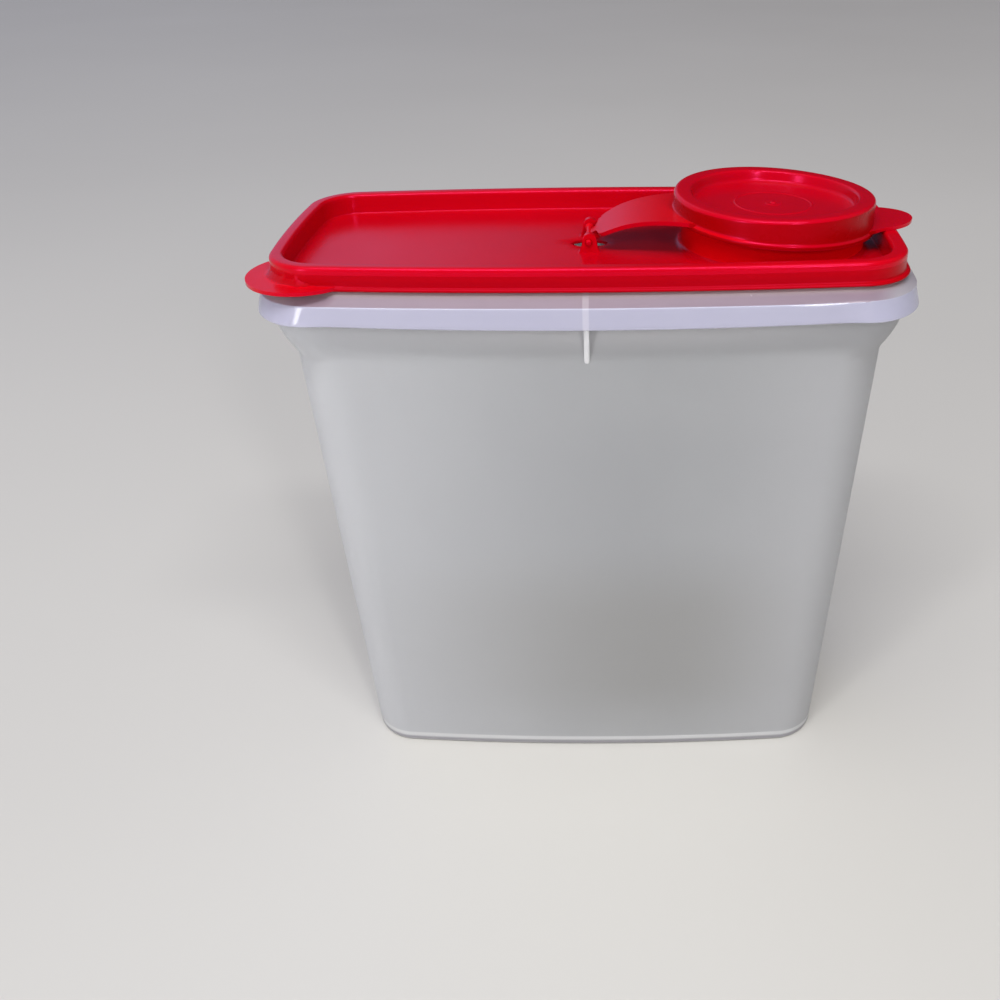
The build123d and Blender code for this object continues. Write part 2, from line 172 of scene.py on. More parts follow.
# ---------------------------------------------------------------- mesh tools
class Shell:
    def __init__(self):
        self.v, self.f = [], []

    def ring(self, pts, z=None):
        base = len(self.v)
        for i, p in enumerate(pts):
            zz = p[2] if z is None else z
            self.v.append((float(p[0]), float(p[1]), float(zz)))
        return list(range(base, base + len(pts)))

    def bridge(self, a, b, closed=True):
        n = len(a)
        for i in range(n if closed else n - 1):
            j = (i + 1) % n
            self.f.append((a[i], a[j], b[j], b[i]))

    def chain(self, rings, closed=True):
        for a, b in zip(rings, rings[1:]):
            self.bridge(a, b, closed)

    def fill(self, outer, holes, up, step=None, surface=None):
        """Flat sheet between index loops, triangulated with a grid of inner points."""
        loops = [outer] + holes
        pts = [Vector((self.v[i][0], self.v[i][1])) for lp in loops for i in lp]
        ids = [i for lp in loops for i in lp]
        edges, base = [], 0
        for lp in loops:
            n = len(lp)
            edges += [(base + k, base + (k + 1) % n) for k in range(n)]
            base += n
        z = self.v[outer[0]][2]
        if step:
            poly = np.array([(self.v[i][0], self.v[i][1]) for i in outer])
            hole_polys = [np.array([(self.v[i][0], self.v[i][1]) for i in h]) for h in holes]
            lo, hi = poly.min(0), poly.max(0)
            for ix, x in enumerate(np.arange(lo[0] + step, hi[0], step)):
                for y in np.arange(lo[1] + step * (0.5 if ix % 2 else 1.0), hi[1], step):
                    if inside(poly, x, y, step * 0.5) and not any(
                            inside(h, x, y, -step * 0.5) for h in hole_polys):
                        pts.append(Vector((x, y)))
                        ids.append(None)
        out_v, _, out_f, orig, _, _ = delaunay_2d_cdt(pts, edges, [], 0, 1e-7)
        index = []
        for k, p in enumerate(out_v):
            known = [ids[o] for o in orig[k] if ids[o] is not None] if orig[k] else []
            if known:
                index.append(known[0])
            else:
                zz = z if surface is None else surface(p[0], p[1])
                self.v.append((p[0], p[1], zz))
                index.append(len(self.v) - 1)
        outer_poly = np.array([(self.v[i][0], self.v[i][1]) for i in outer])
        hole_polys = [np.array([(self.v[i][0], self.v[i][1]) for i in h]) for h in holes]
        for f in out_f:
            c = sum((out_v[k] for k in f), Vector((0, 0))) / len(f)
            if not inside(outer_poly, c[0], c[1], 0) or any(inside(h, c[0], c[1], 0) for h in hole_polys):
                continue
            tri = [index[k] for k in f]
            a, b, d = (Vector(self.v[i][:2]) for i in tri[:3])
            ccw = (b - a).cross(d - a) > 0
            self.f.append(tuple(tri if ccw == up else tri[::-1]))

    def object(self, name, materials=(), sharp=34.0, merge=1e-4):
        me = bpy.data.meshes.new(name)
        me.from_pydata([tuple(c * MM for c in v) for v in self.v], [], [f for f in self.f if len(set(f)) == len(f)])
        ob = bpy.data.objects.new(name, me)
        scene.collection.objects.link(ob)
        tidy(ob, sharp, merge)
        for mat in materials:
            me.materials.append(mat)
        return ob


def inside(poly, x, y, margin):
    """Whether (x, y) is in the polygon, at least margin from its line (beyond it if negative)."""
    x1, y1 = poly[:, 0], poly[:, 1]
    x2, y2 = np.roll(x1, -1), np.roll(y1, -1)
    cross = ((y1 > y) != (y2 > y)) & (x < (x2 - x1) * (y - y1) / np.where(y2 == y1, 1e-12, y2 - y1) + x1)
    hit = bool(cross.sum() % 2)
    if margin == 0:
        return hit
    dx, dy = x2 - x1, y2 - y1
    t = np.clip(((x - x1) * dx + (y - y1) * dy) / np.maximum(dx * dx + dy * dy, 1e-12), 0, 1)
    d = np.sqrt(np.min((x1 + t * dx - x) ** 2 + (y1 + t * dy - y) ** 2))
    return (hit and d > margin) if margin > 0 else (hit or d < -margin)


def tidy(ob, sharp=34.0, merge=1e-4, weld=True):
    """One closed surface with outward normals, smooth but for its sharp edges."""
    bm = bmesh.new()
    bm.from_mesh(ob.data)
    if weld:
        bmesh.ops.remove_doubles(bm, verts=bm.verts, dist=merge * MM)
        bmesh.ops.dissolve_degenerate(bm, dist=1e-8, edges=bm.edges)
    bmesh.ops.recalc_face_normals(bm, faces=bm.faces)
    limit = math.radians(sharp)
    loose = 0
    for e in bm.edges:
        e.smooth = len(e.link_faces) == 2 and e.calc_face_angle(0) < limit
        loose += len(e.link_faces) != 2
    for f in bm.faces:
        f.smooth = True
    bm.to_mesh(ob.data)
    bm.free()
    print("mesh", ob.name, len(ob.data.vertices), "open edges", loose)
    return loose


def prism(name, outline, thickness, radius, step=None, axis="Z", segments=4):
    """Plate of that outline, in XY or for axis Y in XZ, whose long edges are rounded to that radius."""
    line = np.array(outline, float)
    if ring_area(line) < 0:
        line = line[::-1]
    keep = [k for k in range(len(line)) if np.linalg.norm(line[k] - line[k - 1]) > 0.02]
    line = line[keep]
    bm = bmesh.new()
    n = len(line)
    high = [bm.verts.new((x * MM, y * MM, thickness / 2 * MM)) for x, y in line]
    low = [bm.verts.new((x * MM, y * MM, -thickness / 2 * MM)) for x, y in line]
    bm.faces.new(high)
    bm.faces.new(low[::-1])
    for k in range(n):
        bm.faces.new((high[k - 1], low[k - 1], low[k], high[k]))
    rim = [e for e in bm.edges if abs(e.verts[0].co.z - e.verts[1].co.z) < 1e-9]
    bmesh.ops.bevel(bm, geom=rim, offset=radius * MM, offset_type="OFFSET", segments=segments, profile=0.5,
                    affect="EDGES", clamp_overlap=True)
    bmesh.ops.remove_doubles(bm, verts=bm.verts, dist=1e-7)
    caps = [f for f in bm.faces if abs(abs(f.normal.z) - 1) < 1e-4 and len(f.verts) > 4]
    sh = Shell()
    bm.verts.index_update()
    sh.v = [tuple(c / MM for c in v.co) for v in bm.verts]
    sh.f = [tuple(v.index for v in f.verts) for f in bm.faces if f not in caps]
    for f in caps:
        sh.fill([v.index for v in f.verts], [], f.normal.z > 0, step)
    bm.free()
    ob = sh.object(name)
    if axis == "Y":
        ob.data.transform(Matrix(((1, 0, 0, 0), (0, 0, -1, 0), (0, 1, 0, 0), (0, 0, 0, 1))))
    elif axis == "X":
        ob.data.transform(Matrix(((0, 0, 1, 0), (1, 0, 0, 0), (0, 1, 0, 0), (0, 0, 0, 1))))
    return ob


def ring_area(p):
    q = np.roll(p, -1, axis=0)
    return 0.5 * float(np.sum(p[:, 0] * q[:, 1] - q[:, 0] * p[:, 1]))


def apply_all(ob):
    dg = bpy.context.evaluated_depsgraph_get()
    dg.update()
    new = bpy.data.meshes.new_from_object(ob.evaluated_get(dg), preserve_all_data_layers=True, depsgraph=dg)
    old = ob.data
    ob.modifiers.clear()
    ob.data = new
    new.name = old.name
    bpy.data.meshes.remove(old)


def flat_faces(ob):
    """Triangles in place of the faces that aren't flat, so that the pieces join cleanly."""
    bm = bmesh.new()
    bm.from_mesh(ob.data)
    bent = []
    for f in bm.faces:
        mid = f.calc_center_median()
        if len(f.verts) > 3 and max(abs((v.co - mid).dot(f.normal)) for v in f.verts) > 2e-8:
            bent.append(f)
    bmesh.ops.triangulate(bm, faces=bent)
    bm.to_mesh(ob.data)
    bm.free()


def combine(ob, others, operation="UNION"):
    for other in others:
        mod = ob.modifiers.new("join", "BOOLEAN")
        mod.operation = operation
        mod.solver = "EXACT"
        mod.object = other
        apply_all(ob)
        data = other.data
        bpy.data.objects.remove(other)
        bpy.data.meshes.remove(data)
    return ob


def spline(points, n):
    """Catmull-Rom curve through points, n steps a span."""
    p = [np.array(q, float) for q in points]
    p = [2 * p[0] - p[1]] + p + [2 * p[-1] - p[-2]]
    out = []
    for i in range(1, len(p) - 2):
        for t in np.linspace(0, 1, n, endpoint=False):
            a, b, c, d = p[i - 1], p[i], p[i + 1], p[i + 2]
            out.append(0.5 * (2 * b + (c - a) * t + (2 * a - 5 * b + 4 * c - d) * t ** 2
                              + (3 * b - a - 3 * c + d) * t ** 3))
    out.append(p[-2])
    return np.array(out)


# ---------------------------------------------------------------- materials
def new_material(name):
    mat = bpy.data.materials.new(name)
    mat.use_nodes = True
    nt = mat.node_tree
    return mat, nt, nt.nodes["Principled BSDF"]


def node(nt, kind, **inputs):
    n = nt.nodes.new(kind)
    for k, v in inputs.items():
        if hasattr(n, k):
            setattr(n, k, v)
        else:
            n.inputs[k.replace("_", " ")].default_value = v
    return n


def zone(nt, coord, colour, axis, low, high, soft, other, weight=1.0, mirror=False):
    """Blend the other colour in where the coordinate (its size, if mirrored) lies between low and high, in mm."""
    split = node(nt, "ShaderNodeSeparateXYZ")
    nt.links.new(coord.outputs["Object"], split.inputs["Vector"])
    value = split.outputs[axis]
    if mirror:
        size = node(nt, "ShaderNodeMath", operation="ABSOLUTE")
        nt.links.new(value, size.inputs[0])
        value = size.outputs["Value"]
    both = None
    for at, rise in ((low, True), (high, False)):
        ease = node(nt, "ShaderNodeMapRange", interpolation_type="SMOOTHSTEP")
        ease.inputs["From Min"].default_value = (at - soft) * MM
        ease.inputs["From Max"].default_value = (at + soft) * MM
        ease.inputs["To Min"].default_value = 0.0 if rise else weight
        ease.inputs["To Max"].default_value = weight if rise else 0.0
        nt.links.new(value, ease.inputs["Value"])
        if both is None:
            both = ease.outputs["Result"]
        else:
            least = node(nt, "ShaderNodeMath", operation="MINIMUM")
            nt.links.new(both, least.inputs[0])
            nt.links.new(ease.outputs["Result"], least.inputs[1])
            both = least.outputs["Value"]
    mix = node(nt, "ShaderNodeMix", data_type="RGBA")
    nt.links.new(both, mix.inputs[0])
    nt.links.new(colour, mix.inputs[6])
    mix.inputs[7].default_value = (*other, 1)
    return mix.outputs[2]


def moulded(name, dark, light, rough, bump, grain=2600.0, subsurface=0.0, radius=(1, 1, 1), scale=0.01,
            transmission=0.0, specular=0.5, tint=(1, 1, 1), scuff=0.25, zones=()):
    """Injection moulded plastic: slow colour drift, fine matt grain, faint flow marks and light scuffs."""
    mat, nt, bsdf = new_material(name)
    L = nt.links.new
    coord = node(nt, "ShaderNodeTexCoord")
    # slow colour drift
    drift = node(nt, "ShaderNodeTexNoise", Scale=9.0, Detail=3.0, Roughness=0.55)
    L(coord.outputs["Object"], drift.inputs["Vector"])
    ramp = node(nt, "ShaderNodeValToRGB")
    ramp.color_ramp.elements[0].position = 0.35
    ramp.color_ramp.elements[0].color = (*dark, 1)
    ramp.color_ramp.elements[1].position = 0.68
    ramp.color_ramp.elements[1].color = (*light, 1)
    L(drift.outputs["Fac"], ramp.inputs["Fac"])
    colour = ramp.outputs["Color"]
    # zones paint light and shade into the colour in bands
    for z in zones:
        colour = zone(nt, coord, colour, *z)
    L(colour, bsdf.inputs["Base Color"])
    # roughness: base, blotches, thin scuffs
    stretch = node(nt, "ShaderNodeMapping")
    stretch.inputs["Scale"].default_value = (14.0, 90.0, 60.0)
    stretch.inputs["Rotation"].default_value = (0.1, 0.2, 0.5)
    L(coord.outputs["Object"], stretch.inputs["Vector"])
    scuffs = node(nt, "ShaderNodeTexNoise", Scale=3.2, Detail=6.0, Roughness=0.7)
    L(stretch.outputs["Vector"], scuffs.inputs["Vector"])
    sramp = node(nt, "ShaderNodeMapRange")
    sramp.inputs["From Min"].default_value = 0.58
    sramp.inputs["From Max"].default_value = 0.74
    sramp.inputs["To Min"].default_value = 0.0
    sramp.inputs["To Max"].default_value = scuff * 0.25
    L(scuffs.outputs["Fac"], sramp.inputs["Value"])
    blotch = node(nt, "ShaderNodeTexNoise", Scale=38.0, Detail=4.0, Roughness=0.6)
    L(coord.outputs["Object"], blotch.inputs["Vector"])
    bramp = node(nt, "ShaderNodeMapRange")
    bramp.inputs["From Min"].default_value = 0.3
    bramp.inputs["From Max"].default_value = 0.7
    bramp.inputs["To Min"].default_value = rough - 0.035
    bramp.inputs["To Max"].default_value = rough + 0.035
    L(blotch.outputs["Fac"], bramp.inputs["Value"])
    add = node(nt, "ShaderNodeMath", operation="ADD")
    L(bramp.outputs["Result"], add.inputs[0])
    L(sramp.outputs["Result"], add.inputs[1])
    L(add.outputs["Value"], bsdf.inputs["Roughness"])
    # fine grain of the tool's surface, and slight waviness of the skin
    fine = node(nt, "ShaderNodeTexNoise", Scale=grain, Detail=2.0, Roughness=0.5)
    L(coord.outputs["Object"], fine.inputs["Vector"])
    wave = node(nt, "ShaderNodeTexNoise", Scale=26.0, Detail=1.0, Roughness=0.4)
    L(coord.outputs["Object"], wave.inputs["Vector"])
    b1 = node(nt, "ShaderNodeBump")
    b1.inputs["Strength"].default_value = bump
    b1.inputs["Distance"].default_value = 0.00005
    L(fine.outputs["Fac"], b1.inputs["Height"])
    b2 = node(nt, "ShaderNodeBump")
    b2.inputs["Strength"].default_value = 0.35
    b2.inputs["Distance"].default_value = 0.0006
    L(wave.outputs["Fac"], b2.inputs["Height"])
    L(b1.outputs["Normal"], b2.inputs["Normal"])
    L(b2.outputs["Normal"], bsdf.inputs["Normal"])
    bsdf.inputs["Specular IOR Level"].default_value = specular
    bsdf.inputs["Specular Tint"].default_value = (*tint, 1)
    bsdf.inputs["IOR"].default_value = 1.5
    bsdf.inputs["Subsurface Weight"].default_value = subsurface
    bsdf.inputs["Subsurface Radius"].default_value = radius
    bsdf.inputs["Subsurface Scale"].default_value = scale
    bsdf.inputs["Transmission Weight"].default_value = transmission
    return mat


red_lid = moulded("red_lid_plastic", (0.48, 0.0003, 0.0060), (0.53, 0.0004, 0.0070), 0.22, 0.20,
                  subsurface=0.2, radius=(1.0, 0.04, 0.03), scale=0.004, specular=0.60, tint=(1.0, 0.07, 0.30), scuff=0.10)
red_cap = moulded("red_cap_plastic", (0.46, 0.0003, 0.0080), (0.50, 0.0004, 0.0090), 0.20, 0.18,
                  subsurface=0.2, radius=(1.0, 0.04, 0.03), scale=0.004, specular=0.50, tint=(1.0, 0.07, 0.30), scuff=0.10)
side = dict(subsurface=0.2, radius=(1.0, 0.04, 0.03), scale=0.004, specular=0.25, tint=(1.0, 0.07, 0.30), scuff=0.10)
# painted shade: a darker copy of the lid red for its outer walls and bead, darker still below 233 mm, with painted
# light at the left end
lid_wall_painted_shade = moulded("red_lid_wall_painted_shade", (0.39, 0.0003, 0.0026), (0.42, 0.0004, 0.0034), 0.30, 0.16, zones=(
    ("X", -400.0, -106.0, 12.0, (0.47, 0.0003, 0.0060), 1.0), ("Z", -400.0, 233.0, 0.9, (0.375, 0.0003, 0.0030), 1.0)),
                  **side)
# painted light: a lighter copy of the cap red for the arm's upper faces
arm_painted_light = moulded("red_cap_arm", (0.53, 0.0003, 0.0034), (0.57, 0.0004, 0.0042), 0.24, 0.18, subsurface=0.2,
                  radius=(1.0, 0.04, 0.03), scale=0.004, specular=0.32, tint=(1.0, 0.07, 0.30), scuff=0.10)
# painted shade: a darker copy of the cap red for its outer wall
cap_wall_painted_shade = moulded("red_cap_wall_painted_shade", (0.335, 0.0003, 0.0010), (0.365, 0.0004, 0.0014), 0.28, 0.16, **side)
# painted glow: a lighter copy of the lid red for the neck's outer wall, standing in for light shining through it
neck_painted_glow = moulded("red_lid_neck", (0.61, 0.0003, 0.0026), (0.65, 0.0004, 0.0032), 0.50, 0.16, subsurface=0.2,
                   radius=(1.0, 0.04, 0.03), scale=0.004, specular=0.10, tint=(1.0, 0.07, 0.30), scuff=0.10)
# painted light: a lighter copy of the lid red for the tab's top
tab_painted_light = moulded("red_lid_tab", (0.55, 0.0003, 0.0060), (0.59, 0.0004, 0.0070), 0.24, 0.20, subsurface=0.2,
                  radius=(1.0, 0.04, 0.03), scale=0.004, specular=0.26, tint=(1.0, 0.07, 0.30), scuff=0.10)
milk = dict(scuff=0.03, grain=1800.0, subsurface=0.35, radius=(1.0, 1.0, 1.0), scale=0.004)
clear = moulded("milky_wall", (0.515, 0.52, 0.535), (0.565, 0.57, 0.58), 0.42, 0.25, transmission=0.48, zones=(
    # painted shade: darker between 20 and 98 mm up, where the shadow behind shows through
    ("Z", 20.0, 98.0, 24.0, (0.455, 0.45, 0.445), 0.9),
    # painted light: lighter just under the collar, against the collar's shadow
    ("Z", 206.0, 400.0, 7.0, (0.745, 0.74, 0.755), 1.0),
    ("X", -400.0, -60.0, 92.0, (0.73, 0.735, 0.76), 1.0),            # painted light: lighter towards the ends, most at the left
    ("X", -400.0, -103.0, 16.0, (0.83, 0.835, 0.86), 1.0),
    ("X", 74.0, 400.0, 40.0, (0.63, 0.63, 0.645), 1.0),
    # painted light and shade near the base: a light strip where the inner floor shows through, a dark strip below it
    # and a light line at the bottom edge
    ("Z", 3.5, 5.6, 0.5, (0.95, 0.95, 0.96), 0.9), ("Z", 1.7, 2.9, 0.4, (0.45, 0.42, 0.47), 0.9),
    ("Z", -0.5, 1.0, 0.4, (0.90, 0.90, 0.90), 0.8)), **milk)
# painted reflection: the collar's bluish tint stands in for sky reflected in its polished skin; painted light: lighter
# where the rib stands behind it
collar_mat = moulded("milky_collar", (0.505, 0.495, 0.635), (0.54, 0.53, 0.67), 0.12, 0.06, transmission=0.25, zones=(
    ("X", -1.15, 1.15, 0.25, (0.72, 0.70, 0.80), 0.6),), **milk)
# the ribs' thicker plastic lets less light through, and their base is painted much lighter, as if catching light from
# the sides
rib_thick_painted_light = moulded("milky_rib_painted_light", (0.90, 0.89, 0.92), (0.93, 0.92, 0.95), 0.30, 0.12, transmission=0.15, **milk)
# painted reflection and shade: a dark mauve base for the lid's red reflection and shadow on the ledge, lighter at the
# ends, a lighter band just under the lid's bead and lighter where the rib stands behind
ledge_painted_reflection = moulded("milky_ledge_painted_reflection", (0.272, 0.207, 0.256), (0.297, 0.229, 0.282), 0.24, 0.10, transmission=0.10, zones=(
    ("X", 109.0, 400.0, 6.0, (0.38, 0.365, 0.40), 0.9, True),
    ("Z", 227.3, 230.0, 0.6, (0.36, 0.305, 0.31), 0.8), ("Z", 227.85, 230.0, 0.3, (0.44, 0.33, 0.355), 0.8),
    ("X", -1.15, 1.15, 0.25, (0.43, 0.375, 0.415), 0.7)), **milk)


# ---------------------------------------------------------------- container
def build_container():
    sh = Shell()
    rings = []

    def add(plan, z):
        rings.append(sh.ring(plan.loop(), z))
        return rings[-1]

    base = wall_plan(0)
    under = add(base.off(-(2.2 + FOOT_W)), FOOT_H)
    for d, z in ((-6.15, 0.45), (-6.0, 0.14), (-5.7, 0.0), (-4.0, 0.0), (-2.4, 0.0)):
        add(base.off(d), z)
    for d, z in arc(-2.2, 2.2, 2.2, -90, 0, 9):
        add(wall_plan(z).off(d), z)
    for z in np.linspace(2.2, FLARE[0][0], 15)[1:]:
        add(wall_plan(z), z)
    for z in np.linspace(FLARE[0][0], FLARE[-1][0], 18)[1:]:
        add(wall_plan(z, flare_at(z)), z)
    most = FLARE[-1][1]
    add(wall_plan(221.0, most), 221.0)
    # up to the underside of the ledge, which is lower where the ends flare
    line = lid_plan.loop()
    away = lid_plan.off(1.0).loop() - line
    wall = wall_plan(225.5, most).loop()
    d = np.sum((wall - line) * away, axis=1)
    z = 227.4 - 0.7097 * np.maximum(0.0, d + 1.75)
    rings.append(sh.ring(np.column_stack([wall, z])))
    skirt = [(-BAND_T, 223.44), (-BAND_T, 222.0), (-BAND_T, 220.5), (-BAND_T, 219.0)]
    skirt += arc(-BAND_T + 0.4, BAND_LOW_Z + 0.4, 0.4, 180, 270, 4) + arc(-0.42, BAND_LOW_Z + 0.42, 0.42, 270, 360, 5)
    skirt += [(0.0, 219.0), (0.0, 220.5), (0.0, 222.0), (0.0, 223.2)]
    # the upper edge is crisp, but softer at the front beside the corners
    edge = [((0.0, 224.3), (0.0, 224.1)), ((0.0, 224.5), (-0.016, 224.272)), ((-0.02, 224.6), (-0.066, 224.437)),
            ((-0.08, 224.68), (-0.145, 224.59)), ((-0.18, 224.75), (-0.253, 224.725)), ((-0.35, 224.86), (-0.384, 224.837))]
    lift = 0.7 * np.array([smooth((x - 82.0) / 20.0) for x, _ in band.loop()])
    ledge = [(-0.8, 225.13), (-2.6, 226.28), (-4.6, 227.54), (-6.2, 228.53), (-6.62, 228.82), (-6.88, 229.08),
             (-7.01, 229.38), (-7.05, 229.75)]
    soft = np.array([max(smooth((x - 72.0) / 8.0) * (1 - smooth((x - 99.0) / 5.0)),
                         smooth((x + 109.0) / 3.0) * (1 - smooth((x + 100.0) / 4.0))) if y < 0 else 0.0
                     for x, y in band.loop()])
    for d, z in skirt:
        rings.append(sh.ring(collar(d, z)))
    for hard, easy in edge:
        a, b = collar(*hard), collar(hard[0] + 1.4 * (easy[0] - hard[0]), hard[1] + 1.4 * (easy[1] - hard[1]))
        p = a + (b - a) * soft[:, None]
        p[:, 2] += lift
        rings.append(sh.ring(p))
    for d, z in ledge:
        p = collar(d, z)
        p[:, 2] += lift * smooth((d + 5.0) / 4.2)
        rings.append(sh.ring(p))
    add(rim_out, 232.5)
    for d, z in arc(-0.6, RIM_TOP_Z - 0.6, 0.6, 0, 90, 5) + arc(-RIM_T + 0.6, RIM_TOP_Z - 0.6, 0.6, 90, 180, 5):
        add(rim_out.off(d), z)
    for z in (232.5, 229.4):
        add(rim_in, z)
    add(rim_in.off(-0.15), 228.6)
    for z in [227.4] + list(np.linspace(225.0, 5.1, 15)):
        add(wall_plan(z).off(-WALL_T), z)
    for d, z in arc(-WALL_T - 2.5, 5.1, 2.5, 0, -90, 7)[1:]:
        last = add(wall_plan(z).off(d), z)
    sh.chain(rings)
    sh.fill(under, [], False, step=11.0)
    sh.fill(last, [], True, step=11.0)
    ob = sh.object("container_body", [clear])
    # centre gusset ribs, front and back
    ribs = []
    for sgn in (-1, 1):
        yb = band.b - BAND_T * 0.55
        pts = [(49.5, 199.5), (50.55, 199.55), (51.25, 200.5), (52.3, 205.0), (53.5, 210.4), (54.5, 214.2),
               (56.0, 216.9), (57.4, 217.75), (yb, 217.95), (yb, 224.0), (53.0, 227.2), (49.7, 227.2)]
        ribs.append(prism("rib", [(sgn * p, q) for p, q in pts], RIB_T - 0.3, 0.6, axis="X"))
    combine(ob, ribs)
    tidy(ob)
    # the collar's polished skin, with a painted bluish sky reflection, the ribs' thicker plastic, painted lighter as if
    # catching light, and the ledge, painted with the lid's red reflection and shade, look different from the wall
    ob.data.materials.clear()
    for mat in (clear, collar_mat, rib_thick_painted_light, ledge_painted_reflection):
        ob.data.materials.append(mat)
    for f in ob.data.polygons:
        x, y, z = (c / MM for c in f.center)
        f.material_index = 0
        if abs(x) < RIB_T / 2 + 0.05 and z < 225.5 and wall_plan(z).b + 0.12 < abs(y) < band.b - BAND_T - 0.1:
            f.material_index = 2
        elif z > BAND_TOP_Z + 0.25 and f.normal.z > 0.3 and not inside(rim_out.loop(), x, y, 0.3):
            f.material_index = 3
        elif z > 216.2 and (z > 227.3 or not inside(wall_plan(z, most).loop(), x, y, -0.3)):
            f.material_index = 1
    return ob


# ---------------------------------------------------------------- lid
def circle(cx, cy, r, n=128, start=0.0):
    return [(cx + r * math.cos(t), cy + r * math.sin(t))
            for t in (start + 2 * math.pi * k / n for k in range(n))]


def warp(x, y, amount=1.0):
    """The soft cap and neck aren't quite flat: a slight saddle."""
    return -1.05 * amount * (x - CAP_X) * y / 1600.0 - 0.22 * amount


def build_lid():
    sh = Shell()
    rings = []
    prof = arc(-RIM_W - 0.6, TRAY_Z + 0.6, 0.6, -90, 0, 5)
    prof += [(-RIM_W, 233.0), (-RIM_W + 0.03, 235.4)]
    prof += arc(-4.0, 236.4, 1.5, 180, 90, 8)
    prof += [(-2.75, 237.9)]
    prof += arc(-1.5, 236.4, 1.5, 90, 0, 9)
    prof += [(0.0, 235.0), (0.0, 233.0), (0.0, 231.5), (0.01, 231.1), (0.05, 230.85), (0.14, 230.66), (0.32, 230.5),
             (0.60, 230.36), (0.86, 230.18), (1.04, 229.92), (1.10, 229.65), (1.04, 229.38), (0.84, 229.19), (0.5, 229.12),
             (-0.9, 229.12), (-1.2, 229.19), (-1.4, 229.5), (-1.4, 232.8), (-1.4, 236.0), (-1.55, 236.35), (-1.9, 236.5), (-2.75, 236.5),
             (-3.6, 236.5), (-3.95, 236.35), (-4.1, 236.0), (-4.1, 232.0), (-4.1, 229.1), (-4.2, 228.7),
             (-4.5, 228.35), (-5.0, 228.2), (-6.7, 228.2)]
    plain = np.array([max(smooth((math.hypot(x - TAB[0], y - TAB[1]) - TAB[2] + 3.0) / 5.0),
                          smooth((x + 107.0) / 6.0) if y < 0 else 0.0) for x, y in lid_plan.loop()])
    line = lid_plan.loop()
    away = lid_plan.off(1.0).loop() - line
    far = np.array([smooth((x - 95.0) / 20.0) for x, _ in line])
    near = np.array([1 - smooth((x + 90.0) / 12.0) if y < 0 else 0.0 for x, y in line])
    for d, z in prof:
        pts = lid_plan.off(d).loop()
        z = np.full(len(pts), z) + (0.25 * near * smooth((z - 229.2) / 0.6) * (0 < d < 1.105))
        if d > 0:                                           # the bead dies out where the tab joins
            pts = line + away * (d * plain * (1 + 0.6 * far))[:, None]
        if d > -2.8:                                        # the rim is a little longer at its pouring end
            pts[:, 0] += 0.6 * far
        rings.append(sh.ring(np.column_stack([pts, z])))
    sh.chain(rings)
    # pour neck
    necks = []
    tilt = math.tan(math.radians(CAP_TILT))

    def neck_ring(r, z, share):
        pts = []
        for x, y in circle(CAP_X, 0, r):
            zz = z
            if share:
                zz = z + share * (warp(x, y, 0.85) - tilt * (x - CAP_X))
            pts.append((x, y, zz))
        necks.append(sh.ring(pts))

    for r, z in ((38.7, TRAY_Z), (37.9, TRAY_Z + 0.07), (37.2, TRAY_Z + 0.28), (36.6, TRAY_Z + 0.72),
                 (36.2, TRAY_Z + 1.4), (36.0, TRAY_Z + 2.4)):
        neck_ring(r, z, 0.0)
    neck_ring(35.95, 237.5, 0.3)
    neck_ring(35.9, 243.6, 0.85)
    for r, h in ((35.9, -3.1), (36.05, -2.7), (36.5, -2.35), (36.9, -1.9), (37.0, -1.4), (36.85, -0.8), (36.45, -0.3),
                 (35.8, -0.02), (35.2, -0.1), (34.7, -0.5), (34.4, -1.2), (34.4, -3.1)):
        neck_ring(r, NECK_TOP_Z + h, 1.0)
    neck_ring(34.4, 243.6, 0.85)
    neck_ring(34.4, 237.5, 0.3)
    for r, z in ((34.4, 229.4), (34.5, 228.75), (34.75, 228.4), (35.2, 228.2)):
        neck_ring(r, z, 0.0)
    sh.chain(necks)
    # lens-shaped hole
    lens_r = (LENS_L ** 2 / 4 + LENS_W ** 2 / 4) / LENS_W
    half = math.degrees(math.asin(LENS_L / 2 / lens_r))
    upper = arc(PIN_X, LENS_Y - lens_r + LENS_W / 2, lens_r, 90 - half, 90 + half, 17)
    lower = arc(PIN_X, LENS_Y + lens_r - LENS_W / 2, lens_r, 270 - half, 270 + half, 17)
    lens = np.array(upper[:-1] + lower[:-1])
    mid = np.array([PIN_X, LENS_Y])
    lens_rings = []
    for k, z in ((0.28, TRAY_Z), (0.08, TRAY_Z - 0.09), (0.0, TRAY_Z - 0.3), (0.0, FLOOR_LOW_Z + 0.3), (0.25, FLOOR_LOW_Z)):
        v = lens - mid
        n = v / np.linalg.norm(v, axis=1)[:, None]
        lens_rings.append(sh.ring(lens + n * k, z))
    sh.chain(lens_rings)
    sh.fill(rings[0], [necks[0], lens_rings[0]], True, step=5.0)
    sh.fill(rings[-1], [necks[-1], lens_rings[-1]], False, step=9.0)
    ob = sh.object("lid_seal", [red_lid])

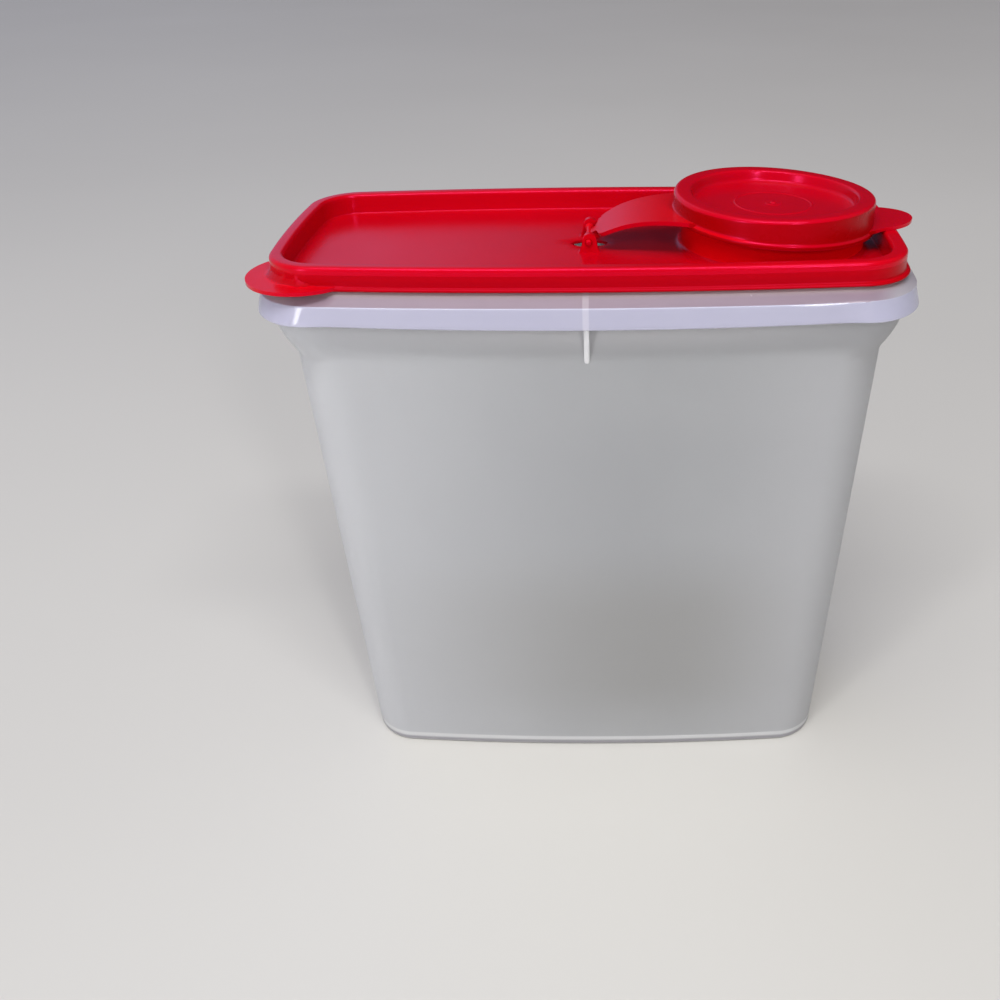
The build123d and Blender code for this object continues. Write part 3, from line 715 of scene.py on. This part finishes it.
    # hinge ears
    adds = []
    for sgn in (-1, 1):
        zt = TRAY_Z + EAR_H
        half = [(4.3, -0.5), (4.3, 0.0), (3.8, 0.18), (3.5, 0.6), (3.35, 1.3), (3.1, 2.6), (2.88, 4.0)]
        half += [(2.55 * math.cos(t) + 0.18 * math.cos(t) ** 3, EAR_H - 2.35 + 2.35 * math.sin(t))
                 for t in np.linspace(0.06, math.pi / 2, 9)]
        out = [(EAR_X + p, TRAY_Z + q) for p, q in half] + [(EAR_X - p, TRAY_Z + q) for p, q in half[-2::-1]]
        ear = prism("ear", out, EAR_OUT - EAR_IN, 0.65, axis="Y", segments=5)
        bore = Shell()
        bore.chain([bore.ring([(x, -4.0, z) for x, z in circle(PIN_X, PIN_Z, PIN_R + 0.12, 32)]),
                    bore.ring([(x, 4.0, z) for x, z in circle(PIN_X, PIN_Z, PIN_R + 0.12, 32)])])
        bore.f += [tuple(range(31, -1, -1)), tuple(range(32, 64))]
        combine(ear, [bore.object("bore")], "DIFFERENCE")
        ear.data.transform(Matrix.Translation((0, sgn * (EAR_IN + EAR_OUT) / 2 * MM, 0)))
        adds.append(ear)
    # thumb tab: the part of a disc that stands out of the lid's wall
    inner_line = lid_plan.off(-0.7).loop()
    disc = np.array(circle(TAB[0], TAB[1], TAB[2], 120, math.pi / 2))
    outside = [not inside(inner_line, x, y, 0) for x, y in disc]
    start = next(i for i in range(120) if outside[i] and not outside[i - 1])
    run = []
    for k in range(120):
        i = (start + k) % 120
        if not outside[i]:
            break
        run.append(tuple(disc[i]))
    back = [(float(x), float(y)) for x, y in inner_line if math.hypot(x - TAB[0], y - TAB[1]) < TAB[2] - 0.3]
    if math.dist(back[0], run[-1]) > math.dist(back[-1], run[-1]):
        back = back[::-1]
    tab = prism("tab", run + back, TAB[3], 0.55, step=1.1)
    wall = lid_plan.loop()
    nxt = np.roll(wall, -1, axis=0)
    for v in tab.data.vertices:                             # the top sweeps up into the wall
        x, y, z = v.co.x / MM, v.co.y / MM, v.co.z / MM
        t = np.clip(((x - wall[:, 0]) * (nxt - wall)[:, 0] + (y - wall[:, 1]) * (nxt - wall)[:, 1])
                    / np.sum((nxt - wall) ** 2, axis=1), 0, 1)
        gap = float(np.sqrt(np.min((wall[:, 0] + t * (nxt - wall)[:, 0] - x) ** 2
                                   + (wall[:, 1] + t * (nxt - wall)[:, 1] - y) ** 2)))
        if inside(wall, x, y, 0):
            gap = 0.0
        rad = 1.3 + 1.7 * smooth((-30.0 - y) / 10.0)        # tighter behind the corner
        if z > TAB[3] / 2 - 0.02 and gap < rad:
            fade = smooth((TAB[2] - math.hypot(x - TAB[0], y - TAB[1]) - 0.8) / 5.0) * smooth((-98.0 - x) / 7.0)
            v.co.z += fade * (rad - math.sqrt(max(rad ** 2 - (rad - gap) ** 2, 0.0))) * MM
    tab.data.transform(Matrix.Translation((0, 0, (LID_LOW_Z + 0.1 + TAB[3] / 2) * MM)))
    adds.append(tab)
    flat_faces(tab)
    combine(ob, adds)
    tidy(ob)
    ob.data.materials.clear()
    ob.data.materials.append(red_lid)
    ob.data.materials.append(lid_wall_painted_shade)
    ob.data.materials.append(neck_painted_glow)
    ob.data.materials.append(tab_painted_light)
    # painted shade on the outer walls and bead, painted light on the tab's top, painted glow on the neck's outer wall
    border = lid_plan.off(-0.6).loop()
    for f in ob.data.polygons:
        x, y, z = (c / MM for c in f.center)
        f.material_index = 0
        if 229.0 < z < 235.6 and not inside(border, x, y, 0):
            by_tab = math.hypot(x - TAB[0], y - TAB[1]) < TAB[2] + 0.5
            if by_tab and z < 231.1 and f.normal.z > 0.85:
                f.material_index = 3
            elif z > 230.9 or not by_tab and abs(f.normal.z) < 0.92:
                f.material_index = 1
        elif z > 230.5 and abs(f.normal.z) < 0.5 and 35.0 < math.hypot(x - CAP_X, y) < 37.4:
            f.material_index = 2
    return ob


# ---------------------------------------------------------------- pour cap
def frame_at(x, z, tilt):
    t = math.radians(tilt)
    return np.array([x, 0, z]), np.array([math.cos(t), 0, -math.sin(t)]), np.array([math.sin(t), 0, math.cos(t)])


def build_cap():
    sh = Shell()
    T = frame_at(CAP_X, CAP_TOP_Z, CAP_TILT)
    lip_x = CAP_X - math.tan(math.radians(CAP_TILT)) * (CAP_TOP_Z - LIP_Z + LIP_H)
    low = frame_at(lip_x, LIP_Z - LIP_H, LIP_TILT)
    n = 144

    def ring(fr, r, h):
        o, ux, uz = fr
        pts = []
        for k in range(n):
            t = 2 * math.pi * k / n
            p = o + ux * r * math.cos(t) + np.array([0, 1, 0]) * r * math.sin(t) + uz * h
            p[2] += warp(p[0], p[1])
            pts.append(p)
        return sh.ring(pts)

    def centre(fr, h):
        o, ux, uz = fr
        p = o + uz * h
        return sh.ring([(p[0], p[1], p[2] + warp(p[0], p[1]))])[0]

    D = -DISH_D
    top_prof = [(0.5, D + 0.62), (0.85, D + 0.55), (1.05, D + 0.38), (1.2, D + 0.2), (2.85, D + 0.17), (3.05, D + 0.12),
                (3.2, D + 0.02), (3.4, D), (8.0, D), (13.8, D), (14.35, D + 0.02), (14.6, D + 0.1), (14.8, D + 0.22),
                (15.0, D + 0.27), (15.2, D + 0.22), (15.4, D + 0.1), (15.65, D + 0.02), (16.2, D), (22.0, D), (28.0, D)]
    top_prof += arc(30.1, D + 1.7, 1.7, -90, -8, 7)
    top_prof += [(32.05, D + 2.7)]
    top_prof += arc(33.55, -1.3, 1.3, 172, 90, 7)
    top_prof += [(35.6, 0.0)]
    top_prof += arc(37.65, -1.5, 1.5, 90, 0, 9)
    top_prof += [(39.15, -3.4)]
    rings = [ring(T, r, h) for r, h in top_prof]
    lip_prof = [(39.22, 3.6), (39.27, 2.95), (39.36, 2.55), (39.53, 2.25), (39.75, 2.0), (39.9, 1.7), (39.95, 1.3),
                (39.93, 0.8), (39.8, 0.35), (39.5, 0.08), (39.2, 0.0), (38.6, 0.0), (38.25, 0.15), (38.15, 0.5), (38.1, 2.6)]
    rings += [ring(low, r, h) for r, h in lip_prof]
    under_prof = [(37.95, -3.0), (37.9, -2.2), (37.75, -1.65), (37.3, -1.4), (36.2, -1.4), (34.7, -1.4), (34.1, -1.55),
                  (33.75, -2.1), (33.2, -3.6), (32.6, -4.7), (31.8, -5.45), (30.6, -5.8), (20.0, -5.8), (8.0, -5.8)]
    rings += [ring(T, r, h) for r, h in under_prof]
    sh.chain(rings)
    c0, c1 = centre(T, D + 0.64), centre(T, -5.8)
    a, b = rings[0], rings[-1]
    for i in range(n):
        sh.f.append((c0, a[i], a[(i + 1) % n]))
        sh.f.append((c1, b[(i + 1) % n], b[i]))
    ob = sh.object("flip_cap", [red_cap])

    # lift tab, curving up a little from the lip
    edge = spline([(104, -21), (107.6, -18.9), (110.5, -17.0), (114.5, -14.2), (119.5, -12.6), (124.4, -9.0), (127.2, -4.4),
                   (128.0, 0.0), (127.2, 4.4), (124.4, 9.0), (119.5, 12.6), (114.5, 14.2), (110.5, 17.0), (107.6, 18.9),
                   (104, 21)], 6)
    keep = [(float(p[0]), float(p[1])) for p in edge if math.hypot(p[0] - CAP_X, p[1]) > 38.85]
    t0 = math.atan2(keep[-1][1], keep[-1][0] - CAP_X)
    outline = keep + [(CAP_X + 38.55 * math.cos(t), 38.55 * math.sin(t)) for t in np.linspace(t0 - 0.03, 0.03 - t0, 15)]
    tab = prism("lift", outline, 1.3, 0.45, step=2.2)
    for v in tab.data.vertices:
        s = min(max((v.co.x / MM - 112.0) / 16.0, 0.0), 1.0)
        v.co.z += (238.55 + 0.45 * s * s) * MM
    # arched arm
    w = spline([(0.6, 2.4), (2.3, 2.6), (3.1, 3.7), (3.75, 6.0), (4.15, 8.6), (5.0, 10.9), (7.4, 12.7), (10.6, 14.0), (14, 15.0), (17, 15.7),
                (20, 16.4), (23, 17.1), (26, 17.9), (29, 18.7), (32, 19.5), (35, 20.4), (38, 21.5), (41, 22.8)], 4)
    ax = CAP_X - 0.2
    keep = [(float(p[0]), float(p[1])) for p in w if math.hypot(p[0] - ax, p[1]) > 38.8]
    t_end = math.atan2(keep[-1][1], keep[-1][0] - ax)
    arc_end = [(ax + 38.6 * math.cos(t), 38.6 * math.sin(t)) for t in np.linspace(t_end, 2 * math.pi - t_end, 27)][1:-1]
    outline = [(x, -y) for x, y in keep] + arc_end[::-1] + keep[::-1]
    arm = prism("arm", outline, ARM_T, 0.5, step=1.8)
    curve = spline([(1.2, 234.75), (2.4, 235.5), (3.6, 236.3), (5, 237.1), (8, 238.8), (11, 240.2), (14, 241.35), (17, 242.2),
                    (20, 242.85), (23, 243.3), (26, 243.65), (29, 243.85), (32, 243.95), (35, 244.0), (42, 244.0)], 6)
    slope = np.gradient(curve[:, 1], curve[:, 0])
    for v in arm.data.vertices:
        x, h = v.co.x / MM, v.co.z / MM
        s = float(np.interp(x, curve[:, 0], slope))
        z = float(np.interp(x, curve[:, 0], curve[:, 1]))
        if x < curve[0, 0]:
            z -= float(slope[0]) * (float(curve[0, 0]) - x)
        k = 1 / math.sqrt(1 + s * s)
        depth = ARM_T / 2 - h                       # below the upper face
        v.co.x = (x + depth * s * k) * MM
        v.co.z = (z - depth * k) * MM
    # cross pin with stop collars and domed ends
    pin = Shell()
    prof = [(0.35, 12.6), (0.75, 12.52), (1.08, 12.3), (1.26, 11.95), (1.3, 11.6), (1.3, 8.9), (1.3, 8.55), (1.42, 8.42),
            (1.75, 8.35), (1.85, 8.15), (1.85, 7.6), (1.75, 7.3), (1.45, 7.05), (1.3, 6.8), (1.3, 3.0)]
    prof = prof + [(r, -y) for r, y in prof[::-1]]
    prings = [pin.ring([(PIN_X + r * math.cos(t), y, PIN_Z + r * math.sin(t))
                        for t in (2 * math.pi * k / 32 for k in range(32))]) for r, y in prof]
    pin.chain(prings)
    e0 = pin.ring([(PIN_X, 12.6, PIN_Z)])[0]
    e1 = pin.ring([(PIN_X, -12.6, PIN_Z)])[0]
    for i in range(32):
        pin.f.append((e0, prings[0][(i + 1) % 32], prings[0][i]))
        pin.f.append((e1, prings[-1][i], prings[-1][(i + 1) % 32]))
    combine(ob, [tab, arm, pin.object("pin")])
    tidy(ob)
    ob.data.materials.clear()
    ob.data.materials.append(red_cap)
    ob.data.materials.append(cap_wall_painted_shade)
    ob.data.materials.append(arm_painted_light)
    # painted light on the arm's upper faces, painted shade on the outer wall below the rim
    for f in ob.data.polygons:
        x, y, z = (c / MM for c in f.center)
        f.material_index = 2 if math.hypot(x - CAP_X, y) > 39.2 and x < 60.0 and z < 244.6 and f.normal.z > 0.3 else int(z < 248.6 and abs(f.normal.z) < 0.25 and 38.8 < math.hypot(x - CAP_X, y) < 41.0)
    return ob


for build, body, slot in ((build_container, "container", "clear_plastic"), (build_lid, "lid", "red_lid"),
                          (build_cap, "pour_cap", "red_cap")):
    piece = build()
    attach(piece, body)
    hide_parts(body)

# ---------------------------------------------------------------- floor and light
floor_mat, nt, bsdf = new_material("pale_floor")
coord = node(nt, "ShaderNodeTexCoord")
n1 = node(nt, "ShaderNodeTexNoise", Scale=1.4, Detail=3.0)
nt.links.new(coord.outputs["Object"], n1.inputs["Vector"])
ramp = node(nt, "ShaderNodeValToRGB")
ramp.color_ramp.elements[0].color = (0.53, 0.515, 0.485, 1)
ramp.color_ramp.elements[1].color = (0.59, 0.575, 0.545, 1)
nt.links.new(n1.outputs["Fac"], ramp.inputs["Fac"])
nt.links.new(ramp.outputs["Color"], bsdf.inputs["Base Color"])
bsdf.inputs["Roughness"].default_value = 0.65

sh = Shell()
near = sh.ring([(-6000, -3000), (6000, -3000), (6000, 6000), (-6000, 6000)], 0.0)
sh.f.append(tuple(near))
me = bpy.data.meshes.new("floor")
me.from_pydata([tuple(c * MM for c in v) for v in sh.v], [], sh.f)
floor = bpy.data.objects.new("floor", me)
scene.collection.objects.link(floor)
me.materials.append(floor_mat)

world = bpy.data.worlds.new("world")
scene.world = world
world.use_nodes = True
sky = world.node_tree
coord = node(sky, "ShaderNodeTexCoord")
split = node(sky, "ShaderNodeSeparateXYZ")
sky.links.new(coord.outputs["Generated"], split.inputs["Vector"])
across = node(sky, "ShaderNodeMapRange")                   # a little brighter on the left than on the right
for name, value in (("From Min", -0.7), ("From Max", 0.7), ("To Min", 0.0), ("To Max", 1.0)):
    across.inputs[name].default_value = value
sky.links.new(split.outputs["X"], across.inputs["Value"])
ramp = node(sky, "ShaderNodeValToRGB")
ramp.color_ramp.elements[0].color = (0.34, 0.355, 0.40, 1)
ramp.color_ramp.elements[1].color = (0.15, 0.155, 0.17, 1)
sky.links.new(across.outputs["Result"], ramp.inputs["Fac"])
behind = node(sky, "ShaderNodeMapRange", interpolation_type="SMOOTHSTEP")     # bluer and brighter behind
for name, value in (("From Min", 0.1), ("From Max", 0.7), ("To Min", 0.0), ("To Max", 1.0)):
    behind.inputs[name].default_value = value
sky.links.new(split.outputs["Y"], behind.inputs["Value"])
blend = node(sky, "ShaderNodeMix", data_type="RGBA")
sky.links.new(behind.outputs["Result"], blend.inputs[0])
sky.links.new(ramp.outputs["Color"], blend.inputs[6])
veil = node(sky, "ShaderNodeMapRange", interpolation_type="SMOOTHSTEP")       # and weaker to the right
for name, value in (("From Min", -0.30), ("From Max", 0.08), ("To Min", 0.0), ("To Max", 1.0)):
    veil.inputs[name].default_value = value
sky.links.new(split.outputs["X"], veil.inputs["Value"])
shade = node(sky, "ShaderNodeValToRGB")
shade.color_ramp.elements[0].color = (0.28, 0.32, 0.56, 1)
shade.color_ramp.elements[1].color = (0.045, 0.018, 0.035, 1)
sky.links.new(veil.outputs["Result"], shade.inputs["Fac"])
sky.links.new(shade.outputs["Color"], blend.inputs[7])
sky.links.new(blend.outputs[2], sky.nodes["Background"].inputs["Color"])


def area(name, at, to, size, power, colour=(1, 1, 1)):
    data = bpy.data.lights.new(name, "AREA")
    data.shape = "RECTANGLE"
    data.size, data.size_y = size
    data.energy = power
    data.color = colour
    ob = bpy.data.objects.new(name, data)
    scene.collection.objects.link(ob)
    d = (Vector(to) - Vector(at)).normalized()
    ob.location = at
    ob.rotation_euler = d.to_track_quat("-Z", "Y").to_euler()
    return ob


sun_data = bpy.data.lights.new("soft_sky", "SUN")
sun_data.energy = 1.12
sun_data.angle = math.radians(50)
sun_data.color = (1.0, 0.985, 0.965)
sun = bpy.data.objects.new("soft_sky", sun_data)
scene.collection.objects.link(sun)
sun.rotation_euler = Vector((0.14, 0.30, -1.0)).to_track_quat("-Z", "Y").to_euler()
area("front_top", (0.1, -1.15, 2.1), (0, 0, 0.2), (2.0, 0.24), 31)
area("left_window", (-1.3, -1.55, 0.62), (0, 0, 0.2), (0.30, 1.16), 13)
area("right_window", (0.784, -1.93, 1.15), (0, 0, 0.2), (0.20, 0.7), 12)

scene.view_settings.view_transform = "Standard"
